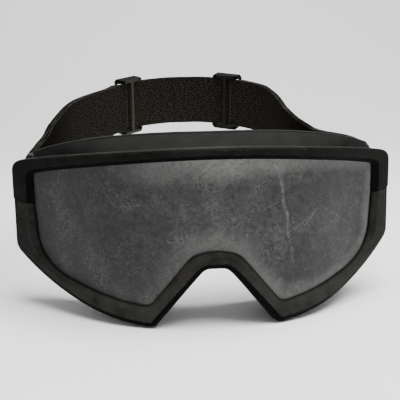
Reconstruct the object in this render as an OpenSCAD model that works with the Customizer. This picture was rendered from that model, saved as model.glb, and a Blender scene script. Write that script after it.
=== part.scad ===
// Dust goggles with one wrap-round lens and an elastic headband.
// Frame: +Z up, -Y to the front, +Y towards the back of the head, +X to the right
// when the lens is seen from the front. The origin is in the middle of the face seal.

/* [Lens wrap] */
// Radius of the middle of the lens, seen from above
wrap_r = 85; // [75:1:95]
// Angle at which the round middle turns into the flat sides
wrap_angle = 42; // [38:1:44]
// Distance from the front of the lens frame to the face seal, on the centre line
frame_depth = 38; // [36:1:44]
// Thickness of the polycarbonate lens
lens_t = 2.0; // [1.6:0.1:2.4]
// How far the lens edge reaches in under the rim
lens_grip = 2.4; // [2.0:0.1:2.6]

/* [Rim] */
// Half of the width across the rim
rim_half_w = 89.4; // [88:0.2:92]
// Height of the rim's top edge over the eye line, on the centre line
rim_top = 33.1; // [32:0.2:35]
// Height of the rim's top outer corners
rim_corner_top = 23.0; // [20:0.2:24]
// Depth of the rim's lower tips, below the eye line
rim_tip_drop = 45.4; // [43:0.2:48]
// Half of the distance between the two lower tips
rim_tip_x = 27.2; // [25:0.2:28]
// Depth of the nose arch's top, below the eye line
rim_nose_drop = 19.0; // [17.5:0.1:19.5]
// Thickness of the rim behind the lens front
rim_back = 5.0; // [4.8:0.1:5.6]
// Height of the rim's face over the lens front
rim_face = 1.3; // [1.0:0.1:1.8]
// Width of the outer bevel on the upper rim
upper_bevel = 0.9; // [0.6:0.1:1.4]
// Width of the outer bevel on the lower rim
lower_bevel = 2.6; // [1.6:0.1:3.0]
// Width of the bevel down to the lens
inner_bevel = 2.0; // [1.4:0.1:2.2]
// Height of the parting seam at the rim's outer side
seam_outer_z = 5.6; // [2:0.2:8]
// Height of the parting seam at the lens
seam_inner_z = 3.9; // [1:0.2:6]
// Gap between the upper and the lower rim at the seam
seam_gap = 0.3; // [0.2:0.05:0.5]

/* [Lens window] */
// Width of the rim's side, from the visible lens to the rim's outer edge
rim_side_w = 8.9; // [8.4:0.1:9.6]
// Height of the visible lens on the centre line
lens_top = 28.0; // [27.4:0.1:28.3]
// Height of the visible lens's top corners
lens_corner_top = 17.9; // [17:0.1:19]
// Depth of the visible lens's lower tips
lens_tip_drop = 36.2; // [35:0.2:37]
// Depth of the visible lens at the nose
lens_nose_drop = 11.3; // [10.8:0.1:11.8]

/* [Frame body] */
// Depth of the body's back flange behind the lens front, on the centre line
body_depth = 24; // [22:0.5:26]
// Radius of the face curve, seen from above
face_r = 116; // [105:1:130]
// Height of the back flange on the centre line
flange_top = 37.6; // [37:0.2:39]
// How much narrower the back flange is than the rim, on each side
flange_in = 9.5; // [9.2:0.1:11]
// Width of the back flange that carries the foam
flange_w = 11; // [9:0.5:12]
// Thickness of the flanges
flange_t = 2.0; // [1.6:0.1:2.4]
// Thickness of the soft body wall
wall_t = 2.4; // [2.0:0.1:2.6]
// Number of vent slots in the top wall
top_slots = 7; // [3:2:7]
// Width of a top vent slot
top_slot_w = 9; // [6:0.5:11]
// Distance between two top vent slots
top_slot_pitch = 14; // [13:0.5:14.5]
// Width of a bottom vent slot
low_slot_w = 7; // [5:0.5:8.5]
// Distance between two bottom vent slots
low_slot_pitch = 11; // [10:0.5:12]

/* [Face foam] */
// Thickness of the face foam
foam_t = 13.2; // [10:0.2:15]
// Distance of the foam's side from the edge of the back flange
foam_edge = 1.5; // [1.2:0.1:2]
// Thickness of the soft lining on the foam
lining_t = 0.8; // [0.6:0.1:1.2]

/* [Strap pivots] */
// Distance from the rim's outer side back to the pivot axis
pivot_behind = 8.08; // [7.9:0.02:9.5]
// Height of the pivot axis over the eye line
pivot_z = 7.8; // [6:0.2:9]
// Radius of the pivot rivet's shank
rivet_r = 1.6; // [1.3:0.1:1.8]
// Running gap round the rivet's shank
rivet_gap = 0.08; // [0.05:0.01:0.1]
// Radius of the rivet's heads
rivet_head_r = 3.1; // [2.7:0.1:3.2]
// Thickness of the bracket's ear
ear_t = 2.0; // [1.6:0.1:2.2]
// Thickness of the strap clip
clip_t = 2.2; // [1.8:0.1:2.4]
// Distance from the rim's outer side in to the strap clip's inner face
clip_in = 8.9; // [8.5:0.1:9.1]
// Gap between two faces that turn on each other
face_gap = 0.35; // [0.25:0.05:0.45]

/* [Headband] */
// Width of the webbing
strap_w = 30.4; // [29:0.2:32]
// Width of the webbing where it is gathered round the clip's bar
strap_end_w = 27.6; // [26:0.2:28.6]
// Thickness of the webbing
strap_t = 1.3; // [1.1:0.1:1.4]
// Gap between two layers of webbing that lie on each other
layer_gap = 0.25; // [0.2:0.05:0.35]
// Upward tilt of the headband towards the back of the head
strap_tilt = 10.35; // [8:0.05:12]
// Radius of the band's round back
back_r = 55.6; // [54:0.2:57]
// Sideways place of the round back's centre
back_x = 3; // [0:0.5:4]
// Distance from the pivot axis to the round back's centre, along the band
back_reach = 104.5; // [102:0.5:110]

/* [Sliders] */
// Length of a strap slider along the webbing
slider_len = 19.6; // [18:0.2:22]
// Gap between the webbing's edge and the slider's rail
rail_gap = 0.5; // [0.4:0.1:0.8]
// Thickness of the slider's bars
bar_t = 1.9; // [1.6:0.1:2.2]
// Thickness of the slider's rails
rail_t = 1.9; // [1.4:0.1:2.2]
// Angle of the left slider round the band's back
left_slider_angle = 129; // [122:1:131]
// Angle of the right slider round the band's back
right_slider_angle = 60; // [54:1:66]
// Length of the sewn turn-over at the end of the webbing
sewn_len = 11; // [9:1:18]

/* [Hidden] */

rim_colour = "#262624";
body_colour = "#343432";
foam_colour = "#3b3b39";
lining_colour = "#202022";
lens_colour = "#565656";
clip_colour = "#1c1c1c";
strap_colour = "#262622";
metal_colour = "#4a4a4a";

seat_gap = 0.3;          // air left between two pieces that seat on each other
lens_recess = 2.1;       // depth of the lens's front face below the wrap surface
eps = 0.01;

lens_half_w = rim_half_w - rim_side_w;
flange_half_w = rim_half_w - flange_in;
clip_x = rim_half_w - clip_in;

// Small vector helpers
function unit(v) = v / norm(v);
function inward(d) = let (u = unit(d)) [u.y, -u.x];
function miter(d1, d2) = let (a = inward(d1), b = inward(d2)) (a + b) / (1 + a * b);
function mix(a, b, t) = a + (b - a) * t;
function quad(a, c, b, t) = mix(mix(a, c, t), mix(c, b, t), t);
function middle(a, b) = (a + b) / 2;

// Wrap surface of the lens and rim: a round middle with flat sides that leave it smoothly
wrap_edge = wrap_r * sin(wrap_angle);
wrap_sag = wrap_r * (1 - cos(wrap_angle));
function wrap_y(x) = let (a = abs(x))
  a < wrap_edge ? wrap_r - sqrt(wrap_r * wrap_r - a * a) : wrap_sag + (a - wrap_edge) * tan(wrap_angle);
function wrap_turn(x) = abs(x) < wrap_edge ? asin(x / wrap_r) : sign(x) * wrap_angle;
function on_wrap(q, out) = let (t = wrap_turn(q.x))
  [q.x + out * sin(t), wrap_y(q.x) - out * cos(t) - frame_depth, q.y];

// Face surface: the curve of the back flange, moved back by the distance given
function face_y(x) = body_depth + face_r - sqrt(face_r * face_r - x * x) - frame_depth;
function on_face(q, back) = [q.x, face_y(q.x) + back, q.y];

// An outline is the right half of a closed shape seen from the front: corner points from the
// top centre round to the nose, a control point for each edge and a fillet for each corner.
// Its side has a point at the parting seam.
rim_outline = let (tip = [rim_tip_x, -rim_tip_drop], low = [rim_half_w - 0.2, -17.6],
    arch = [4.9, -rim_nose_drop], corner = [rim_half_w, rim_corner_top],
    seam = [rim_half_w - 0.1, seam_outer_z])
  [[[0, rim_top], corner, seam, low, tip, arch, [0, -rim_nose_drop]],
   [[rim_half_w / 2, rim_top], middle(corner, seam), middle(seam, low),
    [65.6, 2.9 - rim_tip_drop], middle(tip, arch) + [0.7, 0], [2.4, -rim_nose_drop]],
   [0, 5, 0, 3.5, 2.2, 3.2, 0]];
window_outline = let (tip = [rim_tip_x + 2.4, -lens_tip_drop], low = [lens_half_w - 2.4, -23.2],
    arch = [11, -lens_nose_drop - 2.3], corner = [lens_half_w, lens_corner_top],
    seam = [lens_half_w - 0.3, seam_inner_z])
  [[[0, lens_top], corner, seam, low, tip, arch, [0, -lens_nose_drop]],
   [[lens_half_w / 2, lens_top], middle(corner, seam), middle(seam, low),
    [54.4, 2.7 - lens_tip_drop], middle(tip, arch), [5.5, -lens_nose_drop]],
   [0, 2, 0, 14, 3, 3, 0]];
flange_outline = let (tip = [rim_tip_x - 0.6, 1.6 - rim_tip_drop], low = [flange_half_w - 5, -20],
    arch = [3.1, -rim_nose_drop - 0.4], corner = [flange_half_w, 26.6], seam = [flange_half_w - 2.6, 6])
  [[[0, flange_top], corner, seam, low, tip, arch, [0, -rim_nose_drop - 0.4]],
   [[flange_half_w * 2 / 3, flange_top + 0.6], middle(corner, seam), middle(seam, low),
    [58, 5 - rim_tip_drop], middle(tip, arch), [1.5, -rim_nose_drop - 0.4]],
   [0, 3.5, 0, 8, 3, 2.6, 0]];

// The flange's own edge has sharper top corners than the foam on it
back_edge = [flange_outline[0], flange_outline[1], [0, 1.4, 0, 8, 3, 2.6, 0]];

// The same outline moved inwards by a distance, or outwards by a negative one. Its point at the
// seam moves along the seam, so that the seam is flat.
seam_slope = (seam_outer_z - seam_inner_z) / (rim_outline[0][2].x - window_outline[0][2].x);
function fillet_change(k) = [0, 1, 0, 1, 0.5, -0.6, 0][k];
function inset(o, by) =
  [[for (i = [0:6]) o[0][i] + by * (
      i == 0 ? inward(o[1][0] - o[0][0]) :
      i == 6 ? inward(o[0][6] - o[1][5]) :
      i == 2 ? [-1, -seam_slope] :
      miter(o[0][i] - o[1][i - 1], o[1][i] - o[0][i]))],
   [for (i = [0:5]) o[1][i] + by * miter(o[1][i] - o[0][i], o[0][i + 1] - o[1][i])],
   [for (i = [0:6]) i == 2 || i == 0 || i == 6 ? 0 : max(o[2][i] - by * fillet_change(i), 0.4)]];

// Stations: every outline gets the same number of points, so that loops of them match
edge_steps = [7, 2, 2, 7, 5, 2];
corner_steps = [0, 3, 0, 3, 3, 3, 0];
function edge_point(o, i, t) = quad(o[0][i], o[1][i], o[0][i + 1], t);
function edge_start(o, i) = min(0.45, o[2][i] / norm(o[0][i + 1] - o[0][i]));
function edge_end(o, i) = 1 - min(0.9, o[2][i + 1] / norm(o[0][i + 1] - o[0][i]));
function half_stations(o) = [for (i = [0:5]) each concat(
  [for (j = [(o[2][i] > 0 || i == 0 ? 0 : 1):edge_steps[i]])
    edge_point(o, i, mix(edge_start(o, i), edge_end(o, i), j / edge_steps[i]))],
  i == 5 ? [] : [for (j = [1:1:corner_steps[i + 1]])
    quad(edge_point(o, i, edge_end(o, i)), o[0][i + 1], edge_point(o, i + 1, edge_start(o, i + 1)),
      j / (corner_steps[i + 1] + 1))])];
half_count = len(half_stations(rim_outline));
function flip(q) = [-q.x, q.y];
function loop(o) = let (h = half_stations(o))
  concat(h, [for (k = [half_count - 2:-1:1]) flip(h[k])]);
loop_count = 2 * half_count - 2;
top_end = edge_steps[0] - 1;
seam_station = edge_steps[0] + corner_steps[1] + edge_steps[1] + 1;
side_station = seam_station + edge_steps[2];
low_start = side_station + corner_steps[3] + 2;
low_end = low_start + edge_steps[3] - 1;

function wrap_loop(o, out) = [for (q = loop(o)) on_wrap(q, out)];
function face_loop(o, back) = [for (q = loop(o)) on_face(q, back)];

// A closed ring whose section runs through the loops in turn
module ring(loops) {
  n = len(loops);
  m = len(loops[0]);
  polyhedron(points = [for (l = loops) each l],
    faces = [for (j = [0:n - 1], i = [0:m - 1]) let (i2 = (i + 1) % m, j2 = (j + 1) % n)
      each [[j * m + i, j * m + i2, j2 * m + i2], [j * m + i, j2 * m + i2, j2 * m + i]]]);
}

// An open band through a list of sections, with both ends closed
module band(sections) {
  m = len(sections);
  n = len(sections[0]);
  polyhedron(points = [for (s = sections) each s],
    faces = concat([[for (j = [0:n - 1]) j]], [[for (j = [n - 1:-1:0]) (m - 1) * n + j]],
      [for (i = [0:m - 2], j = [0:n - 1]) let (j2 = (j + 1) % n)
        each [[i * n + j, (i + 1) * n + j, (i + 1) * n + j2], [i * n + j, (i + 1) * n + j2, i * n + j2]]]));
}

// Part of a ring: the sections from one station to another, counted round the loops
function part_of(loops, first, last) = let (m = len(loops[0]))
  [for (i = [first:last]) [for (l = loops) l[(i + m) % m]]];

// Rim: a rounded bar of plastic round the lens, in two pieces that part at the side seams.
// Its back has the pocket for the lens edge and the gasket.
pocket = lens_grip + 0.6;
function rim_loops(bevel) = [
  wrap_loop(rim_outline, -rim_back),
  wrap_loop(rim_outline, -1.0),
  wrap_loop(inset(rim_outline, 0.22 * bevel), rim_face - 0.7),
  wrap_loop(inset(rim_outline, bevel), rim_face),
  wrap_loop(inset(window_outline, -inner_bevel), rim_face - 0.1),
  wrap_loop(inset(window_outline, -0.3 * inner_bevel), -0.6),
  wrap_loop(window_outline, -1.2),
  wrap_loop(window_outline, seat_gap - lens_recess),
  wrap_loop(inset(window_outline, -pocket), seat_gap - lens_recess),
  wrap_loop(inset(window_outline, -pocket), -rim_back)];

// Moves one end of a band along the rim by half of the seam's gap
function open_seam(sections) = let (last = len(sections) - 1)
  [for (i = [0:last]) i == 0 ? [for (j = [0:len(sections[0]) - 1])
      sections[0][j] + unit(sections[1][j] - sections[0][j]) * seam_gap / 2]
    : i == last ? [for (j = [0:len(sections[0]) - 1])
      sections[last][j] + unit(sections[last - 1][j] - sections[last][j]) * seam_gap / 2]
    : sections[i]];

module upper_rim() {
  color(rim_colour)
    difference() {
      band(open_seam(part_of(rim_loops(upper_bevel), -seam_station, seam_station)));
      screw_holes();
    }
}

module lower_rim() {
  color(rim_colour)
    difference() {
      band(open_seam(part_of(rim_loops(lower_bevel), seam_station, loop_count - seam_station)));
      screw_holes();
    }
}

// Lens: upright strips of one sheet, from the lower side corner in to the nose and out again
function lens_top_z(x) = let (o = inset(window_outline, -lens_grip), c = o[0][1])
  min(o[0][0].y - (o[0][0].y - c.y) * (x / c.x) * (x / c.x), c.y + 1.2 - (abs(x) - c.x + 3) * 0.9);
lens_low = let (l = loop(inset(window_outline, -lens_grip)))
  [for (k = [side_station:loop_count - side_station]) l[k]];

module lens() {
  color(lens_colour)
    band([for (q = lens_low) let (top = [q.x, lens_top_z(q.x)])
      [on_wrap(q, -lens_recess), on_wrap(top, -lens_recess),
       on_wrap(top, -lens_recess - lens_t), on_wrap(q, -lens_recess - lens_t)]]);
}

gasket_front = lens_recess + lens_t + seat_gap;
gasket_back = rim_back + seat_gap;

module lens_gasket() {
  color(lining_colour)
    ring([wrap_loop(inset(window_outline, -lens_grip), -gasket_front),
      wrap_loop(inset(window_outline, -0.4), -gasket_front),
      wrap_loop(inset(window_outline, -0.4), -gasket_back),
      wrap_loop(inset(window_outline, -lens_grip), -gasket_back)]);
}

// Frame body: a soft moulded wall from the rim to the face, with a flange at each end.
// The vent slots go through its top and bottom walls, under strips of filter foam.
wall_out = 0.8 + wall_t;
lip_out = wall_out + 1.0;
body_front = gasket_back + seat_gap / 2;
wall_in_back = 3.0;
flange_dip = 0.2;        // how far the wall's foot stands proud of the flange's front face

low_slots_x = lens_half_w - 31.5;
function slot_front(x) = wrap_y(x) + (body_front + flange_t) * cos(wrap_turn(x)) + 1.2;
function slot_back(x) = face_y(x) + frame_depth - flange_t - 1.6;

module slot(x, w, low, high) {
  translate([x - w / 2, slot_front(x) - frame_depth, low])
    cube([w, max(slot_back(x) - slot_front(x), 1), high - low]);
}

module frame_body() {
  color(body_colour)
    difference() {
      ring([wrap_loop(inset(window_outline, -lip_out), -body_front),
        wrap_loop(inset(window_outline, -0.6), -body_front),
        face_loop(inset(flange_outline, wall_in_back + wall_t), -flange_t - flange_dip),
        face_loop(inset(flange_outline, flange_w), -flange_t - flange_dip),
        face_loop(inset(flange_outline, flange_w), 0),
        face_loop(back_edge, 0),
        face_loop(back_edge, -flange_t),
        face_loop(inset(flange_outline, wall_in_back), -flange_t - flange_dip),
        wrap_loop(inset(window_outline, -wall_out), -body_front - flange_t),
        wrap_loop(inset(window_outline, -lip_out), -body_front - flange_t)]);
      for (k = [0:top_slots - 1])
        slot((k - (top_slots - 1) / 2) * top_slot_pitch, top_slot_w, lens_top - 4, flange_top + 6);
      for (side = [-1, 1], k = [-1:1])
        slot(side * (low_slots_x + k * low_slot_pitch), low_slot_w,
          -rim_tip_drop - 3, 10.2 - lens_tip_drop);
    }
}

// Filter foam: a strip that fills the channel between the flanges over the vent slots
vent_gap = 0.6;          // air round the filter foam at the back flange
vent_edge = 0.2;         // how far its front edge stays below the front lip's edge
vent_loops = [
  wrap_loop(inset(window_outline, vent_edge - lip_out), -body_front - flange_t - seat_gap),
  face_loop(inset(flange_outline, wall_in_back - vent_gap), -flange_t - flange_dip - vent_gap),
  face_loop(inset(flange_outline, vent_gap), -flange_t - vent_gap)];

module top_vent_foam() {
  color(foam_colour)
    mirror([1, 0, 0]) band(part_of(vent_loops, -top_end, top_end));
}

module low_vent_foam() {
  color(foam_colour)
    band(part_of(vent_loops, low_start, low_end));
}

// Face foam: a crowned ring that lies on the back flange, with drawn-in sides
foam_in = flange_w - 0.4;
foam_crown = (foam_edge + foam_in) / 2;
module face_foam() {
  color(foam_colour)
    mirror([1, 0, 0]) ring([face_loop(inset(flange_outline, foam_edge + 0.8), seat_gap),
      face_loop(inset(flange_outline, foam_in), seat_gap),
      face_loop(inset(flange_outline, foam_in + 0.7), foam_t * 0.35),
      face_loop(inset(flange_outline, foam_in), foam_t * 0.78),
      face_loop(inset(flange_outline, foam_in - 2.2), foam_t * 0.95),
      face_loop(inset(flange_outline, foam_crown), foam_t),
      face_loop(inset(flange_outline, foam_edge + 2.8), foam_t * 0.95),
      face_loop(inset(flange_outline, foam_edge + 0.6), foam_t * 0.78),
      face_loop(inset(flange_outline, foam_edge), foam_t * 0.35)]);
}

// Lining: a thin fleece skin on the side of the foam that meets the face
module foam_lining() {
  skin = seat_gap;
  over = seat_gap + lining_t;
  color(lining_colour)
    ring([face_loop(inset(flange_outline, foam_edge + 0.6 - skin), foam_t * 0.78 + skin),
      face_loop(inset(flange_outline, foam_edge + 2.8 - skin / 2), foam_t * 0.95 + skin),
      face_loop(inset(flange_outline, foam_crown), foam_t + skin),
      face_loop(inset(flange_outline, foam_in - 2.2 + skin / 2), foam_t * 0.95 + skin),
      face_loop(inset(flange_outline, foam_in + skin), foam_t * 0.78 + skin),
      face_loop(inset(flange_outline, foam_in + over * 0.8), foam_t * 0.78 + over * 0.5),
      face_loop(inset(flange_outline, foam_in - 2.2 + over * 0.5), foam_t * 0.95 + over),
      face_loop(inset(flange_outline, foam_crown), foam_t + over),
      face_loop(inset(flange_outline, foam_edge + 2.8 - over * 0.5), foam_t * 0.95 + over),
      face_loop(inset(flange_outline, foam_edge + 0.6 - over * 0.8), foam_t * 0.78 + over * 0.5)]);
}

// Pieces on the right side are mirrored to make the left one
module on_side(side) {
  mirror([side < 0 ? 1 : 0, 0, 0]) children();
}

// Strap bracket: a plate on the back of the rim, across the seam, with an ear for the rivet
pivot_y = wrap_y(rim_half_w) + pivot_behind - frame_depth;
clip_out = clip_x + clip_t;
ear_x = clip_out + face_gap;
ear_r = rivet_head_r + 1.4;
base_t = 1.8;
base_h = 24;
base_start = lens_half_w + lip_out + 0.3;
base_l = (rim_half_w - 0.7 - base_start) / cos(wrap_angle);
screw_r = 0.9;
screw_head_r = 1.7;
screw_pitch = 17;
screw_depth = 3;
far = 100;               // longer than the bracket, for the shapes that cut it

// The flat frame of the bracket's plate: x outwards along the rim's back, y back from the rim
module on_rim_back(gap) {
  corner = on_wrap([base_start, pivot_z], -rim_back - gap);
  translate(corner) rotate([0, 0, wrap_angle]) children();
}

module at_screws() {
  on_rim_back(0)
    for (end = [-1, 1]) translate([base_l / 2, 0, end * screw_pitch / 2]) rotate([-90, 0, 0]) children();
}

module bracket() {
  color(clip_colour)
    difference() {
      union() {
        on_rim_back(seat_gap / 2) translate([0, 0, -base_h / 2]) cube([base_l, base_t, base_h]);
        intersection() {
          translate([ear_x, pivot_y - far, pivot_z - ear_r]) cube([ear_t, 2 * far, 2 * ear_r]);
          union() {
            translate([0, pivot_y, pivot_z]) rotate([0, 90, 0]) cylinder(r = ear_r, h = 2 * far, $fn = 64);
            difference() {
              translate([0, pivot_y - far, pivot_z - ear_r]) cube([2 * far, far, 2 * ear_r]);
              on_rim_back(seat_gap / 2) translate([-far, -far, -far]) cube([2 * far, far, 2 * far]);
            }
          }
        }
      }
      translate([ear_x - 1, pivot_y, pivot_z]) rotate([0, 90, 0])
        cylinder(r = rivet_r + rivet_gap, h = ear_t + 2, $fn = 48);
      at_screws() translate([0, 0, -1]) cylinder(r = screw_r + seat_gap, h = base_t + 2, $fn = 32);
    }
}

module left_bracket() { on_side(-1) bracket(); }
module right_bracket() { on_side(1) bracket(); }

// Bracket screws: two on each side, into the upper and the lower rim
module bracket_screws() {
  color(metal_colour)
    for (side = [-1, 1]) on_side(side)
      at_screws() rotate_extrude($fn = 48)
        polygon([[0, -screw_depth], [screw_r, -screw_depth], [screw_r, base_t + seat_gap],
          [screw_head_r, base_t + seat_gap], [screw_head_r, base_t + 0.5], [screw_head_r - 0.5, base_t + 1.0],
          [0, base_t + 1.0]]);
}

module screw_holes() {
  for (side = [-1, 1]) on_side(side)
    at_screws() translate([0, 0, -screw_depth - 0.4])
      cylinder(r = screw_r + 0.1, h = screw_depth + 2, $fn = 24);
}

// Pivot rivet: its shank goes through the clip and the ear, with a domed head on each side
module rivet() {
  grip = clip_t + ear_t + 3 * face_gap;
  start = clip_x - face_gap;
  head_t = 1.2;
  color(metal_colour)
    translate([start, pivot_y, pivot_z]) rotate([0, 90, 0])
      rotate_extrude($fn = 64)
        polygon([[0, -head_t], [rivet_head_r - 0.9, -head_t], [rivet_head_r, -head_t + 0.7],
          [rivet_head_r, 0], [rivet_r, 0], [rivet_r, grip], [rivet_head_r, grip],
          [rivet_head_r, grip + 0.5], [rivet_head_r - 0.9, grip + head_t], [0, grip + head_t]]);
}

module left_rivet() { on_side(-1) rivet(); }
module right_rivet() { on_side(1) rivet(); }

// Strap clip: an eye on the rivet that widens to a slotted end for the webbing.
// Its own axes: x across the head, y back along the band, z across the webbing.
eye_r = rivet_head_r + 1.0;
loop_bar = 2.4;
slot_start = rivet_head_r + 0.8;
slot_l = strap_t + 1.1;
bar_start = slot_start + slot_l;
clip_end = bar_start + loop_bar;
slot_h = strap_end_w + 1.0;
clip_rail = 1.5;
clip_h = slot_h + 2 * clip_rail;

module in_band_plane() {
  translate([0, pivot_y, pivot_z]) rotate([strap_tilt, 0, 0]) children();
}

// A plate in the clip's side view, drawn with y as the first axis and z as the second
module side_plate(t) {
  multmatrix([[0, 0, 1, 0], [1, 0, 0, 0], [0, 1, 0, 0], [0, 0, 0, 1]])
    linear_extrude(t) children();
}

module clip() {
  color(clip_colour)
    in_band_plane() translate([clip_x, 0, 0])
      side_plate(clip_t)
        difference() {
          union() {
            circle(r = eye_r, $fn = 64);
            polygon([[0.4, -eye_r + 0.03], [slot_start - 1.7, -clip_h / 2 + 2.6], [slot_start, -clip_h / 2],
              [clip_end - 1, -clip_h / 2], [clip_end, -clip_h / 2 + 1], [clip_end, clip_h / 2 - 1],
              [clip_end - 1, clip_h / 2], [slot_start, clip_h / 2], [slot_start - 1.7, clip_h / 2 - 2.6],
              [0.4, eye_r - 0.03]]);
          }
          translate([slot_start, -slot_h / 2]) square([slot_l, slot_h]);
          circle(r = rivet_r + rivet_gap, $fn = 48);
        }
}

module left_clip() { on_side(-1) clip(); }
module right_clip() { on_side(1) clip(); }

// Headband: its line runs midway between two layers of webbing. Both sides are chosen by hand,
// as the limp band lies: across, back from the pivot along the tilted plane, and down from it.
across = [0, -sin(strap_tilt), cos(strap_tilt)];
along = [0, cos(strap_tilt), sin(strap_tilt)];
pivot = [0, pivot_y, pivot_z];
function band_point(x, v, drop) = pivot + [x, 0, 0] + along * v - across * drop;

// The band's back is a round arc in the same plane
back_centre = band_point(back_x, back_reach, 0);
function back_point(r, a) = back_centre + [r * cos(a), 0, 0] + along * (r * sin(a));
left_end = 150;
right_end = 30;

bar_x = clip_x + clip_t / 2;
bar_off = (clip_t + strap_t) / 2 + layer_gap;
turn_v = slot_start + 0.4 + bar_off + strap_t / 2;
left_knots = [[-bar_x, turn_v, 0], [1 - bar_x, 18, 0], [4.7 - bar_x, 36.5, 0], [7.3 - bar_x, 62, 0],
  [16.5 - bar_x, 104, 0]];
right_knots = [[bar_x, turn_v, 0], [bar_x - 1, 18.3, 0.3], [bar_x - 5.5, 36.5, 3.2],
  [bar_x - 10.7, 51, 5.8], [bar_x - 14.2, 61, 6.9], [bar_x - 18.8, 81.3, 7.0], [bar_x - 22.8, 95.5, 4.6],
  [bar_x - 26.2, 111.8, 0.8]];

// Smooth curve through the knots; the first and the last one only give its direction
function curve_point(p, i, t) = 0.5 * (2 * p[i] + (p[i + 1] - p[i - 1]) * t
  + (2 * p[i - 1] - 5 * p[i] + 4 * p[i + 1] - p[i + 2]) * t * t
  + (3 * p[i] - p[i - 1] - 3 * p[i + 1] + p[i + 2]) * t * t * t);
side_steps = 4;
function curve(p) = [for (i = [1:len(p) - 3], s = [0:side_steps - 1]) curve_point(p, i, s / side_steps)];
function side_line(side) = let (a = side < 0 ? left_end : right_end, lead = 8,
    k = [for (q = side < 0 ? left_knots : right_knots) band_point(q[0], q[1], q[2])])
  curve(concat([2 * k[0] - k[1]], k, [back_point(back_r, a), back_point(back_r, a + side * lead)]));

// How far a point of the band is on its way from the clip, from 0 to 1, over a length given
function ease(t) = let (s = max(0, min(1, t))) s * s * (3 - 2 * s);
function way_back(p, reach) = ease(norm(p - band_point(sign(p.x) * bar_x, turn_v, 0)) / reach);

// Direction square to the band's line and to its width
function out_dir(line, i) = let (last = len(line) - 1)
  unit(cross(across, line[min(i + 1, last)] - line[max(i - 1, 0)]));

// Distance from the band's line to the middle of each layer: wide at the clip's bar, then close
layer_off = (strap_t + layer_gap) / 2;
function layer_at(p) = mix(bar_off, layer_off, way_back(p, 14));
function shift_line(line, way) =
  [for (i = [0:len(line) - 1]) line[i] + out_dir(line, i) * layer_at(line[i]) * way];
function reverse(l) = [for (i = [len(l) - 1:-1:0]) l[i]];
function rest(l) = [for (i = [1:len(l) - 1]) l[i]];

// Turn of the webbing round the front of the clip's bar, from its outer side to its inner one
function turn(side) = [for (a = [0:20:180])
  band_point(side * (bar_x + bar_off * cos(a)), turn_v - bar_off * sin(a), 0)];

arc_step = 6;
main_r = back_r - layer_off;
main_line = concat(
  turn(-1), shift_line(side_line(-1), -1),
  [for (a = [left_end:-arc_step:right_end]) back_point(main_r, a)],
  reverse(shift_line(side_line(1), 1)), reverse(turn(1)));

// Webbing: a flat band of even thickness swept along a line, gathered a little at the clip
function width_at(p) = mix(strap_end_w, strap_w, way_back(p, 22));
module webbing(line, widths) {
  band([for (i = [0:len(line) - 1])
    let (o = out_dir(line, i) * strap_t / 2, w = across * widths[i] / 2)
    [line[i] + o - w, line[i] + o + w, line[i] - o + w, line[i] - o - w]]);
}

module head_strap() {
  color(strap_colour) webbing(main_line, [for (p = main_line) width_at(p)]);
}

// Tail: the outer layer, from the clip's bar back to the slider, round the slider's front bar
// and down on itself, where it is sewn
fold_gap = 0.2;
end_taper = 1.0;         // how much narrower the turned end is on each side
join_gap = 0.3;          // air between the main band's end and the tail that carries it on
front_bar_r = back_r + layer_off + strap_t / 2 + fold_gap + bar_t / 2;
fold_r = bar_t / 2 + fold_gap + strap_t / 2;
front_bar_turn = (slider_len / 2 - bar_t * 0.75) / back_r * 180 / PI;
tail_steps = 3;
function fold(hub, side) = let (c = back_point(front_bar_r, hub), r = unit(c - back_centre),
    t = cross(across, r) * side)
  [for (a = [180:-30:0]) c + r * fold_r * cos(a) + t * fold_r * sin(a)];
function sewn(hub, side) = [for (s = [0.3, 0.5, 0.75, 1])
  back_point(mix(front_bar_r + fold_r, back_r + layer_off + strap_t + fold_gap, ease(s * 2.2 - 0.5)),
    hub - side * s * sewn_len / back_r * 180 / PI)];
function outer_layer(side, hub) = let (first = side < 0 ? left_end : right_end)
  concat([band_point(side * (bar_x + bar_off), turn_v + join_gap, 0)],
    rest(shift_line(side_line(side), -side)),
    [for (i = [0:tail_steps]) back_point(back_r + layer_off, mix(first, hub, i / (tail_steps + 1)))]);
function turned_end(side, hub) = concat(fold(hub, side), sewn(hub, side));

module tail(side, angle) {
  hub = angle - side * front_bar_turn;
  line = concat(outer_layer(side, hub), turned_end(side, hub));
  widths = concat([for (p = outer_layer(side, hub)) width_at(p)],
    [for (p = turned_end(side, hub)) strap_w - 2 * end_taper]);
  color(strap_colour)
    webbing(side < 0 ? line : reverse(line), side < 0 ? widths : reverse(widths));
}

module left_tail() { tail(-1, left_slider_angle); }
module right_tail() { tail(1, right_slider_angle); }

// Slider: a three-bar glide. The webbing runs inside its end bars and outside its middle bar.
rail_h = strap_w + 2 * rail_gap + 2 * rail_t;
inner_face = main_r - strap_t / 2 - face_gap - bar_t;
outer_face = front_bar_r + bar_t / 2;
middle_bar_w = 1.9;
slider_chamfer = 2.2;
module glide_bar(r, turn, w) {
  rotate([0, 0, turn]) translate([r, -w / 2, -rail_h / 2 + eps]) cube([bar_t, w, rail_h - 2 * eps]);
}

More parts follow.
